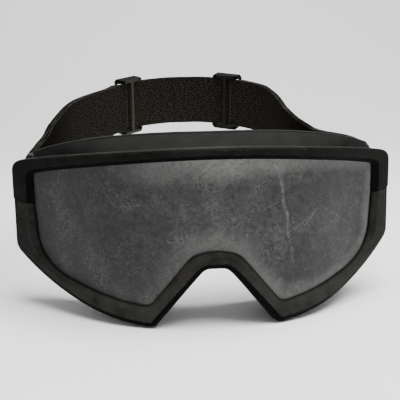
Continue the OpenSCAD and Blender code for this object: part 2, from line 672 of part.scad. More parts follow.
module slider(angle, side) {
  depth = outer_face - inner_face;
  color(clip_colour)
    translate(back_centre) rotate([strap_tilt, 0, 0]) rotate([0, 0, angle])
        intersection() {
          union() {
            for (end = [-1, 1])
              translate([inner_face, -slider_len / 2, end * (rail_h - rail_t) / 2 - rail_t / 2])
                linear_extrude(rail_t)
                  polygon([[0, 4], [0, slider_len - 4], [2.2, slider_len], [depth - 1, slider_len],
                    [depth, slider_len - 1], [depth, 1], [depth - 1, 0], [2.2, 0]]);
            glide_bar(inner_face, 0, middle_bar_w);
            rotate([0, 0, -side * front_bar_turn]) translate([front_bar_r, 0, eps - rail_h / 2])
              cylinder(r = bar_t / 2, h = rail_h - 2 * eps, $fn = 32);
            glide_bar(main_r + strap_t / 2 + face_gap, side * front_bar_turn, bar_t);
          }
          translate([inner_face - 5, 0, 0]) rotate([90, 0, 90])
            linear_extrude(40)
              polygon([for (c = [[-1, -1], [1, -1], [1, 1], [-1, 1]], e = [0, 1])
                let (first = (e == 0) == (c.x * c.y > 0))
                [c.x * (slider_len / 2 - (first ? 0 : slider_chamfer)),
                 c.y * (rail_h / 2 - (first ? slider_chamfer : 0))]]);
        }
}

module left_slider() { slider(left_slider_angle, -1); }
module right_slider() { slider(right_slider_angle, 1); }

upper_rim();
lower_rim();
lens();
lens_gasket();
frame_body();
top_vent_foam();
mirror([1, 0, 0]) low_vent_foam();  // left_vent_foam
low_vent_foam();  // right_vent_foam
face_foam();
foam_lining();
left_bracket();
right_bracket();
bracket_screws();
left_rivet();
right_rivet();
left_clip();
right_clip();
head_strap();
left_tail();
right_tail();
left_slider();
right_slider();
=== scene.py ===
"""Dust goggles: the visible pieces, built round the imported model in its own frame."""
import math
import random

import bmesh
import bpy
import numpy as np
from mathutils import Matrix, Vector, noise


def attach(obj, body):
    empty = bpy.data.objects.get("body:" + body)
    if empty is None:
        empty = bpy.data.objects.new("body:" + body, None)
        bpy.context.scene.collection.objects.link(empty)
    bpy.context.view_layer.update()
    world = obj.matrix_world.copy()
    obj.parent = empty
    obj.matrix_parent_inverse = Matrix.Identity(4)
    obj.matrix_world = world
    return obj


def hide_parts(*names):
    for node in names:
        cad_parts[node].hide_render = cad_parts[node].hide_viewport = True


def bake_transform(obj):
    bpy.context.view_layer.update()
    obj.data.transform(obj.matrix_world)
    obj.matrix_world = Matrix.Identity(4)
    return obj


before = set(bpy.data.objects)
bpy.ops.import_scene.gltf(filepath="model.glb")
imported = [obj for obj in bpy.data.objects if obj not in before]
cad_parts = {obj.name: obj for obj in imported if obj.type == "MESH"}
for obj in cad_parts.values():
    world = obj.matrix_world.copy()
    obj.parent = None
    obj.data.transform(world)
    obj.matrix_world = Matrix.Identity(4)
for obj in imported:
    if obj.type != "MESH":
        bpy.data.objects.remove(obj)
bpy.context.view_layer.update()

MM = 0.001

# Sizes in millimetres, the same as the solids have
WRAP_R, WRAP_ANGLE, FRAME_DEPTH = 85, math.radians(42), 38
WRAP_EDGE = WRAP_R * math.sin(WRAP_ANGLE)
WRAP_SAG = WRAP_R * (1 - math.cos(WRAP_ANGLE))
BODY_DEPTH, FACE_R = 24, 116
LENS_T, LENS_GRIP, LENS_RECESS, SEAT = 2, 2.4, 2.1, 0.3
RIM_BACK, RIM_FACE, SEAM_GAP = 5, 1.3, 0.3
UPPER_BEVEL, LOWER_BEVEL, INNER_BEVEL = 0.9, 2.6, 2
POCKET = LENS_GRIP + 0.6
FLANGE_W, FLANGE_T, FLANGE_DIP, WALL_T, WALL_IN = 11, 2, 0.2, 2.4, 3
FLANGE_FRONT = FLANGE_T + FLANGE_DIP
VENT_GAP, VENT_EDGE = 0.6, 0.2
WALL_OUT = 0.8 + WALL_T
LIP_OUT = WALL_OUT + 1
BODY_FRONT = RIM_BACK + SEAT * 1.5
LIP_BACK = BODY_FRONT + FLANGE_T
# Vent slots: the pitch, then each one's lowest and highest point and width, and the gaps that
# they keep from the lip in front and the flange behind
TOP_PITCH, TOP_SLOT = 14, (24, 43.6, 9)
LOW_MIDDLE, LOW_PITCH, LOW_SLOT = 49, 11, (-48.4, -26, 7)
SLOT_TO_LIP, SLOT_TO_FLANGE = 1.3, 1.6
FOAM_T, FOAM_EDGE, LINING_T = 13.2, 1.5, 0.8
PIVOT = np.array([0, 21.197, 7.8])
TILT = math.radians(10.35)
CLIP_X, CLIP_T, CLIP_SLOT, SLOT_ROOM = 80.5, 2.2, 3.9, 0.4
STRAP_W, STRAP_END_W, STRAP_T, LAYER_GAP = 30.4, 27.6, 1.3, 0.25
BACK_R, BACK_X, BACK_REACH = 55.6, 3, 104.5
SLIDER_LEN, BAR_T, FOLD_GAP, SEWN_LEN, END_TAPER = 19.6, 1.9, 0.2, 11, 1
# By side, -1 at the left and 1 at the right, in degrees round the back of the headband: where
# the round part ends, where the slider sits and over what angle the tail gives way to it
ROUND_END, SLIDER_AT, TAIL_GIVE = {-1: 150, 1: 30}, {-1: 129, 1: 60}, {-1: 15.5, 1: 24.5}
# Pitch, length and radius of the stitches and of the yarn over the webbing's edges
BOX_STITCH, BAR_STITCH = (2.4, 1.8, 0.2), (2.2, 1.5, 0.22)
EDGE_YARN, YARN_SLANT = (1.25, STRAP_T * 1.22, 0.42), 0.55
# Height and length of the waves in the webbing's edges
WAVES = ((0.10, 7.3), (0.07, 3.1))


# Outlines, as the right half of a closed shape seen from the front: corners from the top
# centre round to the nose, a control point for each edge and a fillet for each corner.
def middle(a, b):
    return [(a[0] + b[0]) / 2, (a[1] + b[1]) / 2]


def outline(top, corner, seam, low, tip, arch, nose, crown, sweep, arch_pull, fillets):
    corners = [[0, top], corner, seam, low, tip, arch, [0, nose]]
    slope = middle(tip, arch)
    controls = [crown, middle(corner, seam), middle(seam, low), sweep,
                [slope[0] + arch_pull, slope[1]], [arch[0] / 2, nose]]
    return np.array(corners, float), np.array(controls, float), np.array(fillets, float)


RIM = outline(33.1, [89.4, 23.0], [89.3, 5.6], [89.2, -17.6], [27.2, -45.4], [4.9, -19.0],
              -19.0, [44.7, 33.1], [65.6, -42.5], 0.7, [0, 5, 0, 3.5, 2.2, 3.2, 0])
WINDOW = outline(28.0, [80.5, 17.9], [80.2, 3.9], [78.1, -23.2], [29.6, -36.2], [11, -13.6],
                 -11.3, [40.25, 28.0], [54.4, -33.5], 0, [0, 2, 0, 14, 3, 3, 0])
FLANGE = outline(37.6, [79.9, 26.6], [77.3, 6], [74.9, -20], [26.6, -43.8], [3.1, -19.4],
                 -19.4, [53.3, 38.2], [58, -40.4], 0, [0, 3.5, 0, 8, 3, 2.6, 0])
BACK_EDGE = (FLANGE[0], FLANGE[1], np.array([0, 1.4, 0, 8, 3, 2.6, 0]))
SEAM_SLOPE = (RIM[0][2][1] - WINDOW[0][2][1]) / (RIM[0][2][0] - WINDOW[0][2][0])
FILLET_CHANGE = [0, 1, 0, 1, 0.5, -0.6, 0]
EDGE_STEPS = [44, 8, 8, 44, 26, 8]
CORNER_STEPS = [0, 10, 0, 10, 8, 8, 0]
SEAM_STATION = EDGE_STEPS[0] + CORNER_STEPS[1] + EDGE_STEPS[1] + 1


def unit(v):
    return v / np.linalg.norm(v)


def lengths(rows):
    return np.linalg.norm(rows, axis=1, keepdims=True)


def inward(d):
    u = unit(d)
    return np.array([u[1], -u[0]])


def miter(d1, d2):
    a, b = inward(d1), inward(d2)
    return (a + b) / (1 + a @ b)


def inset(shape, by):
    """The same outline moved inwards by a distance, or outwards by a negative one."""
    p, c, f = shape
    ways = [inward(c[0] - p[0]), *[miter(p[i] - c[i - 1], c[i] - p[i]) for i in range(1, 6)],
            inward(p[6] - c[5])]
    ways[2] = [-1, -SEAM_SLOPE]
    bent = np.array([c[i] + by * miter(c[i] - p[i], p[i + 1] - c[i]) for i in range(6)])
    fillets = [0 if i in (0, 2, 6) else max(f[i] - by * FILLET_CHANGE[i], 0.4) for i in range(7)]
    return p + by * np.array(ways), bent, np.array(fillets)


def quad(a, c, b, t):
    return (a + (c - a) * t) * (1 - t) + (c + (b - c) * t) * t


def loop(shape):
    """Points round the whole outline, from the top centre to the right and round."""
    p, c, f = shape
    length = [np.linalg.norm(p[i + 1] - p[i]) for i in range(6)]
    start = [min(0.45, f[i] / length[i]) for i in range(6)]
    end = [1 - min(0.9, f[i + 1] / length[i]) for i in range(6)]
    half = []
    for i in range(6):
        for j in range(0 if f[i] > 0 or i == 0 else 1, EDGE_STEPS[i] + 1):
            t = start[i] + (end[i] - start[i]) * j / EDGE_STEPS[i]
            half.append(quad(p[i], c[i], p[i + 1], t))
        if i < 5:
            a = quad(p[i], c[i], p[i + 1], end[i])
            b = quad(p[i + 1], c[i + 1], p[i + 2], start[i + 1])
            for j in range(1, CORNER_STEPS[i + 1] + 1):
                half.append(quad(a, p[i + 1], b, j / (CORNER_STEPS[i + 1] + 1)))
    half = np.array(half)
    return np.vstack([half, half[-2:0:-1] * [-1, 1]])


def wrap_y(x):
    a = np.abs(x)
    round_part = WRAP_R - np.sqrt(np.maximum(WRAP_R**2 - a**2, 0))
    return np.where(a < WRAP_EDGE, round_part, WRAP_SAG + (a - WRAP_EDGE) * math.tan(WRAP_ANGLE))


def on_wrap(q, out):
    """Puts points of the front view on the lens's wrap surface, moved out from it."""
    x, z = q[:, 0], q[:, 1]
    t = np.where(np.abs(x) < WRAP_EDGE, np.arcsin(np.clip(x / WRAP_R, -1, 1)),
                 np.sign(x) * WRAP_ANGLE)
    return np.stack([x + out * np.sin(t), wrap_y(x) - out * np.cos(t) - FRAME_DEPTH, z], 1)


def face_y(x):
    return BODY_DEPTH + FACE_R - np.sqrt(FACE_R**2 - x**2) - FRAME_DEPTH


def on_face(q, back):
    """Puts points of the front view on the face curve, moved back from it."""
    return np.stack([q[:, 0], face_y(q[:, 0]) + back, q[:, 1]], 1)


def wrap_loops(shape, *rows):
    """Loops on the wrap surface, each with how far the outline is drawn in and moved out."""
    return [on_wrap(loop(inset(shape, by)), out) for by, out in rows]


def face_loops(shape, *rows):
    """Loops on the face curve, each with how far the outline is drawn in and moved back."""
    return [on_face(loop(inset(shape, by)), back) for by, back in rows]


# Mesh makers
def rounded(loops, radii, steps=4, faces=None):
    """Rounds the corners of a closed section that runs through the loops in turn. Gives the new
    loops, and for each of them how much it stands out to wear and how much it takes of the value
    that each face is given, both from 0 to 1."""
    n = len(loops)
    made, wear, share = [], [], []
    faces = faces or [0] * n
    for k in range(n):
        here, back, on = loops[k], loops[k - 1] - loops[k], loops[(k + 1) % n] - loops[k]
        back_len, on_len = lengths(back) + 1e-9, lengths(on) + 1e-9
        a = here + back / back_len * np.minimum(radii[k], back_len * 0.45)
        b = here + on / on_len * np.minimum(radii[k], on_len * 0.45)
        for s in range(steps + 1):
            made.append(quad(a, here, b, s / steps))
            wear.append(math.sin(math.pi * s / steps))
            share.append(faces[k - 1] + (faces[k] - faces[k - 1]) * s / steps)
    return made, {"wear": wear, "bevel": share}


def new_object(name, data):
    obj = bpy.data.objects.new(name, data)
    bpy.context.scene.collection.objects.link(obj)
    return obj


def shade_smooth(mesh):
    mesh.polygons.foreach_set("use_smooth", [True] * len(mesh.polygons))


def finish_mesh(name, verts, faces, material, point_values=None):
    """A closed mesh from points in millimetres, with its faces turned outwards."""
    mesh = bpy.data.meshes.new(name)
    mesh.from_pydata([tuple(v) for v in np.asarray(verts) * MM], [], faces)
    for attribute, values in (point_values or {}).items():
        layer = mesh.attributes.new(attribute, "FLOAT", "POINT")
        layer.data.foreach_set("value", np.asarray(values, np.float32))
    bm = bmesh.new()
    bm.from_mesh(mesh)
    bmesh.ops.recalc_face_normals(bm, faces=bm.faces)
    bm.to_mesh(mesh)
    bm.free()
    shade_smooth(mesh)
    mesh.materials.append(material)
    return new_object(name, mesh)


def even_shading(obj):
    """Makes the broad faces keep their own shading next to their rounded edges."""
    obj.modifiers.new("even_shading", "WEIGHTED_NORMAL").keep_sharp = True


def swept_faces(n, k, turns=False):
    """The faces of a row of n sections with k points each, which turns back on itself or else is
    closed at both ends."""
    sides = [(i * k + j, i * k + (j + 1) % k, (i + 1) % n * k + (j + 1) % k, (i + 1) % n * k + j)
             for i in range(n if turns else n - 1) for j in range(k)]
    caps = [tuple(range(k)), tuple(range(n * k - 1, (n - 1) * k - 1, -1))]
    return sides if turns else sides + caps


def ring(name, loops, material):
    """A closed ring whose section runs through the loops in turn."""
    faces = swept_faces(len(loops), len(loops[0]), True)
    return finish_mesh(name, np.vstack(loops), faces, material)


def shrink(section, along, by):
    """A section drawn in towards its middle and moved along, for a small chamfer at an end."""
    out = section - section.mean(0)
    return section - out / lengths(out) * by + along * by


def band(name, loops, first, last, material, values=None, gap=0.0, chamfer=0.25):
    """Part of a ring, from one station to another, with both ends closed."""
    stack = np.stack(loops, 1)
    sections = [stack[i % len(stack)] for i in range(first, last + 1)]
    caps = []
    for end, inner in ((0, 1), (-1, -2)):
        along = sections[inner] - sections[end]
        along /= lengths(along)
        sections[end] = sections[end] + along * (gap / 2 + chamfer)
        caps.append(shrink(sections[end], -along.mean(0), chamfer))
    sections = [caps[0], *sections, caps[1]]
    tiled = {key: np.tile(numbers, len(sections)) for key, numbers in (values or {}).items()}
    return finish_mesh(name, np.vstack(sections), swept_faces(len(sections), len(loops)), material,
                       tiled)


def plain_mesh(obj):
    """Turns an object and its modifiers into one plain mesh under the same name."""
    graph = bpy.context.evaluated_depsgraph_get()
    mesh = bpy.data.meshes.new_from_object(obj.evaluated_get(graph))
    obj.modifiers.clear()
    obj.data = mesh


def softened(name, node, material, width, segments=3):
    """The solid of a CAD node with its sharp edges rounded."""
    mesh = bpy.data.meshes.new(name)
    bm = bmesh.new()
    bm.from_mesh(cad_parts[node].data)
    bmesh.ops.remove_doubles(bm, verts=bm.verts, dist=0.000004)
    bmesh.ops.dissolve_limit(bm, angle_limit=math.radians(1), verts=bm.verts, edges=bm.edges)
    bm.to_mesh(mesh)
    bm.free()
    mesh.materials.append(material)
    obj = new_object(name, mesh)
    bevel = obj.modifiers.new("rounding", "BEVEL")
    bevel.width, bevel.segments, bevel.limit_method = width * MM, segments, "ANGLE"
    bevel.angle_limit, bevel.use_clamp_overlap = math.radians(35), True
    plain_mesh(obj)
    shade_smooth(obj.data)
    even_shading(obj)
    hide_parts(node)
    return obj


def place(obj, body, slot, *nodes):
    """Lets a piece ride on its body, and hides the solids that it stands for."""
    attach(obj, body)
    if nodes:
        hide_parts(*nodes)


# Materials. Every one of them reads the object's own coordinates, or an attribute of its piece.
def tone(colour):
    """A hex sRGB colour as linear values."""
    parts = [int(colour[i:i + 2], 16) / 255 for i in (1, 3, 5)]
    linear = [v / 12.92 if v <= 0.04045 else ((v + 0.055) / 1.055) ** 2.4 for v in parts]
    return (*linear, 1)


def add(tree, kind, inputs=None, **settings):
    """Adds a node with its settings, and its inputs as values or as links. A node given as an
    input is linked by its first output."""
    node = tree.nodes.new(kind)
    for key, value in settings.items():
        setattr(node, key, value)
    for key, value in (inputs or {}).items():
        socket = node.inputs[key]
        value = value.outputs[0] if isinstance(value, bpy.types.Node) else value
        if isinstance(value, bpy.types.NodeSocket):
            tree.links.new(value, socket)
        else:
            socket.default_value = value
    return node


def new_material(name, **shader):
    """A material with a Principled shader whose even values are set on its own sockets. Gives it
    with the object's coordinates."""
    material = bpy.data.materials.new(name)
    material.use_nodes = True
    tree = material.node_tree
    tree.nodes.clear()
    values = {key.replace("_", " "): value for key, value in shader.items()}
    surface = add(tree, "ShaderNodeBsdfPrincipled", values)
    add(tree, "ShaderNodeOutputMaterial", {"Surface": surface})
    return material, add(tree, "ShaderNodeTexCoord").outputs["Object"]


def patches(at, size, low, high, detail=4, seed=0):
    """A mask of soft-edged patches about as wide as the size, in millimetres."""
    cloud = add(at.id_data, "ShaderNodeTexNoise", {
        "Vector": at, "W": seed, "Scale": 1 / (size * MM), "Detail": detail, "Roughness": 0.6},
        noise_dimensions="4D")
    return add(at.id_data, "ShaderNodeMapRange", {
        "Value": cloud, "From Min": low, "From Max": high}, interpolation_type="SMOOTHSTEP")


def rise(at, axis, low, high):
    """A mask that rises smoothly along one axis from a low place to a high one, in millimetres."""
    place_on_axis = add(at.id_data, "ShaderNodeSeparateXYZ", {"Vector": at}).outputs[axis]
    return add(at.id_data, "ShaderNodeMapRange", {
        "Value": place_on_axis, "From Min": low * MM, "From Max": high * MM},
        interpolation_type="SMOOTHSTEP")


def times(whole, *masks):
    """Several masks or shares multiplied into one."""
    for mask in masks:
        whole = add(whole.id_data, "ShaderNodeMath", {0: whole, 1: mask}, operation="MULTIPLY")
    return whole


def coats(ground, *layers):
    """Colours laid over each other in turn, each where its mask lets it through."""
    colour = tone(ground)
    for mask, over in layers:
        over = tone(over) if isinstance(over, str) else over
        colour = add(mask.id_data, "ShaderNodeMix", {0: mask, 6: colour, 7: over},
                     data_type="RGBA").outputs[2]
    return colour


def dress(material, colour, gloss=None, height=None, depth=0):
    """Gives a material its colour, a roughness that varies and a bump of a depth in millimetres."""
    tree = material.node_tree
    surface = tree.nodes["Principled BSDF"].inputs
    tree.links.new(colour, surface["Base Color"])
    if gloss:
        mask, low, high = gloss
        spread = add(tree, "ShaderNodeMapRange", {"Value": mask, "To Min": low, "To Max": high})
        tree.links.new(spread.outputs[0], surface["Roughness"])
    if height:
        relief = add(tree, "ShaderNodeBump", {
            "Height": height, "Distance": depth * MM, "Strength": 0.6})
        tree.links.new(relief.outputs[0], surface["Normal"])
    return material


def rim_plastic():
    """Moulded nylon with a fine spark texture: a dull broad sheen, bevels painted black as shade,
    mottled dirt on the faces, painted light that makes it paler low down, and greyer rubbed
    places on the ridges."""
    m, at = new_material("nylon_moulded_scuffed", Roughness=0.5, IOR=1.53, Specular_IOR_Level=0.02)
    black, ridge = [add(at.id_data, "ShaderNodeAttribute", attribute_name=name).outputs["Fac"]
                    for name in ("bevel", "wear")]
    dirt = patches(at, 7, 0.38, 0.7)
    colour = coats(
        "#191917", (dirt, "#242422"),
        # Painted light: paler low down, for the light that the lower rim's upturned faces catch
        (times(rise(at, "Z", -12, -36), patches(at, 9, 0.3, 0.6), 0.7), "#2e2e2b"),
        (times(patches(at, 3, 0.5, 0.72, 5, 2), 0.7), "#2a2926"),
        (times(patches(at, 14, 0.52, 0.7, 2, 5), 0.5), "#34322d"),
        # Painted shade: near black on the bevels and the inner lip, which face down
        (black, "#060606"),
        (times(ridge, patches(at, 1.6, 0.5, 0.68, 3, 9), 0.5), "#43413b"))
    return dress(m, colour, (dirt, 0.5, 0.66), patches(at, 0.7, 0.3, 0.7, 2), 0.03)


def scratch(at, start, end, width, wobble, share):
    """A thin line on the lens between two points of the front view, in millimetres, as a mask."""
    tree = at.id_data
    dx, dz = end[0] - start[0], end[1] - start[1]
    length = math.hypot(dx, dz) * MM
    turned = add(tree, "ShaderNodeMapping", {
        "Vector": at, "Location": (start[0] * MM, 0, start[1] * MM),
        "Rotation": (0, -math.atan2(dz, dx), 0)}, vector_type="TEXTURE")
    parts = add(tree, "ShaderNodeSeparateXYZ", {"Vector": turned}).outputs
    sway = add(tree, "ShaderNodeTexNoise", {"Vector": at, "Scale": 1 / (7 * MM), "Detail": 3})
    shift = add(tree, "ShaderNodeMapRange", {
        "Value": sway, "To Min": -wobble * MM, "To Max": wobble * MM})
    side = add(tree, "ShaderNodeMath", {0: parts["Z"], 1: shift}, operation="ADD")
    along = add(tree, "ShaderNodeMath", {0: parts["X"], 1: length / 2}, operation="SUBTRACT")
    fades = []
    for line, gone, solid, shape in ((side, width * MM, 0, "SMOOTHSTEP"),
                                     (along, length * 0.5, length * 0.36, "LINEAR")):
        away = add(tree, "ShaderNodeMath", {0: line}, operation="ABSOLUTE")
        fades.append(add(tree, "ShaderNodeMapRange", {
            "Value": away, "From Min": gone, "From Max": solid}, interpolation_type=shape))
    return times(*fades, patches(at, 1.8, 0.3, 0.62, 4, 2), share)


# Scratches on the lens: start, end, width, sway in millimetres, and how pale each is
SCRATCHES = (
    ((26.4, 25), (30.6, 11), 1.3, 1.2, 0.14), ((28.9, 19), (31.9, 0), 1.2, 1.4, 0.30),
    ((31.3, 5), (32.6, -9), 1, 1.2, 0.24), ((31.8, -4), (35, -21), 0.6, 1.6, 0.24),
    ((20.2, 4.3), (28.4, 8.4), 0.6, 1.2, 0.22), ((36.6, -6.9), (47.3, 1.8), 0.45, 1, 0.26),
    ((30.8, -7), (49.4, 3.7), 0.45, 1.4, 0.22), ((47.2, 5), (66.2, -8.7), 0.35, 1.4, 0.20),
    ((57.7, -14.2), (65.1, -15), 0.3, 0.5, 0.20), ((30.8, -7), (23.8, -15.5), 0.6, 1.4, 0.16),
    ((44, 18), (57, 20.5), 0.4, 1.4, 0.10), ((-41, 6.6), (-30.8, 8.5), 0.35, 0.8, 0.22),
    ((-52, 1), (-22, -7), 0.4, 2.6, 0.07), ((-49, 17), (-41, 5), 0.6, 2.6, 0.10))


def crazing(at):
    """A mask of fine cracks: the edges of bent cells 2.5 mm wide."""
    tree = at.id_data
    bend = add(tree, "ShaderNodeTexNoise", {"Vector": at, "Scale": 300, "Detail": 3})
    push = add(tree, "ShaderNodeVectorMath", {0: bend.outputs["Color"], 1: (0.012,) * 3},
               operation="MULTIPLY")
    bent = add(tree, "ShaderNodeVectorMath", {0: at, 1: push}, operation="ADD")
    cells = add(tree, "ShaderNodeTexVoronoi", {"Vector": bent, "Scale": 400},
                feature="DISTANCE_TO_EDGE")
    return add(tree, "ShaderNodeMapRange", {
        "Value": cells, "From Min": 0.14, "From Max": 0}, interpolation_type="SMOOTHSTEP")


def rim_halo(at, right_part):
    """A mask of the dust next to the rim, 15 mm wide on the left and half as wide on the right."""
    tree = at.id_data
    spread = add(tree, "ShaderNodeMapRange", {"Value": right_part, "To Min": 1, "To Max": 2.1})
    distance = add(tree, "ShaderNodeAttribute", attribute_name="rim_distance").outputs["Fac"]
    blurred = add(tree, "ShaderNodeMath", {
        0: times(distance, spread), 1: times(patches(at, 16, 0.25, 0.75), 4)}, operation="ADD")
    return add(tree, "ShaderNodeMapRange", {
        "Value": blurred, "From Min": 15, "From Max": 1}, interpolation_type="SMOOTHSTEP")


def lens_plastic():
    """Smoke polycarbonate under settled dust: grey, darker on its left side, painted darker on its
    right side as shade, and paler towards the rim, with clustered specks, faint crazing and fine
    scratches."""
    m, at = new_material(
        "polycarbonate_smoke_dusty", Roughness=0.5, IOR=1.585, Specular_IOR_Level=0.13,
        Coat_Weight=0.02, Coat_Roughness=0.3)
    middle_part, right_part = rise(at, "X", -50, 0), rise(at, "X", 5, 60)
    halo = rim_halo(at, right_part)
    top_part = times(middle_part, rise(at, "Z", 0, 26), 0.5)
    haze = coats("#2b2b2b", (middle_part, "#50504f"), (top_part, "#8a8a88"),
                 (right_part, "#5a5a59"))
    # Each kind of speck is fine spots kept to broad patches, and has a share
    pale, dark, clumps, grain = [
        times(patches(at, *fine), patches(at, *broad), share) for fine, broad, share in (
            ((0.8, 0.5, 0.7, 3), (8, 0.45, 0.62, 4, 8), 0.25),
            ((1, 0.48, 0.62, 2, 4), (12, 0.35, 0.6, 3, 1), 0.4),
            ((1.6, 0.5, 0.66, 5, 12), (11, 0.5, 0.62, 3, 14), 0.42),
            ((1.1, 0.46, 0.62, 4, 21), (10, 0.35, 0.6, 3, 23), 0.24))]
    mottle = times(patches(at, 2.4, 0.4, 0.62, 6, 7), 0.5)
    streaks = add(at.id_data, "ShaderNodeMapping", {"Vector": at, "Scale": (1, 1, 0.4)})
    cracks = times(crazing(at), patches(at, 13, 0.46, 0.66, 3, 3), 0.26)
    colour = coats(
        # The darker right side is painted shade, against the lamp light that the right of the wrap
        # catches
        "#222222", (middle_part, "#333333"), (right_part, "#1f1f1f"),
        (times(patches(streaks, 5, 0.35, 0.7, 4, 6), 0.3), "#33322f"),
        (mottle, "#141414"), (halo, haze), (dark, "#191919"), (times(mottle, 0.4), "#1d1d1d"),
        (grain, "#4c4c4b"), (clumps, "#4e4e4d"), (cracks, "#6e6e6b"), (pale, "#666663"),
        *[(scratch(at, *line), "#767674") for line in SCRATCHES])
    return dress(m, colour, (halo, 0.45, 0.6), pale, 0.01)


def filter_foam():
    """Fine-celled filter foam: matt, so smooth that it reads as one dark strip, softly stained."""
    m, at = new_material("polyurethane_filter_foam", Roughness=0.9, Specular_IOR_Level=0.1)
    cells = patches(at, 0.5, 0.4, 0.7, 1)
    return dress(m, coats("#171716", (patches(at, 9, 0.35, 0.7), "#1d1d1c"),
                          (times(cells, 0.25), "#151515")), None, cells, 0.06)


def seal_foam():
    """Cut polyurethane foam: open cells 0.8 mm wide that show as dark pits in a matt surface."""
    m, at = new_material("polyurethane_seal_foam", Roughness=0.95, Specular_IOR_Level=0.1)
    tree = at.id_data
    cells = add(tree, "ShaderNodeTexVoronoi", {"Vector": at, "Scale": 1 / (0.8 * MM)})
    walls = add(tree, "ShaderNodeMapRange", {
        "Value": cells, "From Min": 0.2, "From Max": 0.7}, interpolation_type="SMOOTHSTEP")
    stains = times(patches(at, 8, 0.4, 0.7), 0.4)
    return dress(m, coats("#151515", (walls, "#2b2b2a"), (stains, "#1c1c1b")), None, walls, 0.25)


def worn_highlit_plastic():
    """The sliders' acetal: near black with rubbed patches, and its bars painted brown-grey as a
    highlight, paler where rubbed.
    """
    m, at = new_material("acetal_moulded_rubbed_highlit", Roughness=0.55, IOR=1.48,
                         Specular_IOR_Level=0.015)
    bars = add(at.id_data, "ShaderNodeAttribute", attribute_name="bar").outputs["Fac"]
    rubbed = patches(at, 2.2, 0.4, 0.75, 5)
    # The bars' brown-grey is a painted highlight; the rubbed patches are wear
    return dress(m, coats("#050505", (times(rubbed, 0.3), "#11100e"), (bars, "#36332d"),
                          (times(bars, rubbed, 0.5), "#433f37")),
                 (rubbed, 0.42, 0.6), patches(at, 0.5, 0.3, 0.7, 2), 0.015)


def webbing():
    """Woven polyester over rubber, painted darker towards the frame and the right as shade. Its
    twill is drawn at a 1.3 mm pitch, coarser than the real yarn, so that it shows: short slanted
    floats, dark gaps, stray pale fibres and faded patches."""
    m, at = new_material("polyester_webbing_woven", Roughness=0.95, Specular_IOR_Level=0)
    tree = at.id_data
    across = add(tree, "ShaderNodeSeparateXYZ", {"Vector": at}).outputs["X"]
    # The share of painted shade, rising towards the right
    painted_shade_to_right = add(tree, "ShaderNodeMapRange", {
        "Value": across, "From Min": -0.05, "From Max": 0.05, "To Min": 0.7, "To Max": 1})
    uv = add(tree, "ShaderNodeUVMap", uv_map="weave")
    slanted = add(tree, "ShaderNodeMapping", {
        "Vector": uv, "Rotation": (0, 0, math.radians(38)), "Scale": (0.6, 1.5, 1)})
    floats = add(tree, "ShaderNodeTexNoise", {
        "Vector": slanted, "Scale": 1, "Detail": 2, "Roughness": 0.6})
    yarn = add(tree, "ShaderNodeMapRange", {
        "Value": floats, "From Min": 0.42, "From Max": 0.6}, interpolation_type="SMOOTHSTEP")
    ribs = add(tree, "ShaderNodeTexWave", {
        "Vector": uv, "Scale": 0.2, "Distortion": 1.6, "Detail": 1},
        bands_direction="X").outputs["Fac"]
    weave = add(tree, "ShaderNodeMix", {0: 0.18, 2: yarn, 3: ribs})
    colour = coats(
        "#070706", (weave, "#2d2b26"), (times(patches(at, 16, 0.35, 0.7), 0.25), "#1d1c19"),
        (times(patches(at, 0.7, 0.6, 0.75, 2), 0.4), "#4a4840"),
        # Painted shade: near black towards the frame, more so on the right side
        (times(rise(at, "Y", 145, 60), painted_shade_to_right), "#050504"))
    return dress(m, colour, None, weave, 0.18)


def spotted(name, ground, over, spots, share, gloss, grain, depth, **shader):
    """A material with spots of one colour over another. Its roughness follows the spots, and its
    bump follows a grain, or the spots where no grain is given."""
    m, at = new_material(name, **shader)
    mask = patches(at, *spots)
    height = patches(at, *grain) if grain else mask
    return dress(m, coats(ground, (times(mask, share), over)), gloss and (mask, *gloss),
                 height if depth else None, depth)


def body_rubber():
    """Moulded thermoplastic rubber: dull and even, with a faint bloom where dust clings."""
    return spotted("rubber_moulded_dusty", "#181817", "#232322", (6, 0.4, 0.72), 1, (0.66, 0.8),
                   (0.6, 0.3, 0.7, 2), 0.02, Roughness=0.72, IOR=1.5, Specular_IOR_Level=0.12)


def fleece():
    """Brushed polyester fleece: no gloss, a soft rim of fibre light and small tufts."""
    return spotted("polyester_fleece_brushed", "#111112", "#232325", (1.3, 0.3, 0.7, 5), 1,
                   None, None, 0.4, Roughness=1, Specular_IOR_Level=0.05, Sheen_Weight=0.15,
                   Sheen_Roughness=0.6)


def hard_plastic():
    """Moulded acetal, as clips are: near black and satin, with a few rubbed spots."""
    return spotted("acetal_moulded_satin", "#0a0a09", "#201e1a", (2.6, 0.5, 0.75, 5), 0.6,
                   (0.4, 0.55), (0.5, 0.3, 0.7, 2), 0.015, Roughness=0.45, IOR=1.48,
                   Specular_IOR_Level=0.14)


def dark_steel():
    """Blackened steel: a dark metal with small bright rubbed places."""
    return spotted("steel_blackened", "#101010", "#302e2b", (1.2, 0.5, 0.72), 1, (0.55, 0.4),
                   None, 0, Metallic=1, Roughness=0.4)


def gasket_rubber():
    """Silicone: smooth, black and faintly dusty."""
    return spotted("silicone_black", "#0b0b0b", "#181817", (4, 0.45, 0.8), 1, None,
                   (1, 0.3, 0.7, 2), 0.01, Roughness=0.55, IOR=1.41, Specular_IOR_Level=0.3)


def selvedge_yarn():
    """The bound edge of the webbing: thicker polyester yarn, paler where it is rubbed."""
    return spotted("polyester_yarn_selvedge", "#1b1a17", "#3f3d37", (6, 0.4, 0.7), 0.8, None,
                   (0.4, 0.3, 0.7, 2), 0.05, Roughness=0.85, Specular_IOR_Level=0.12)


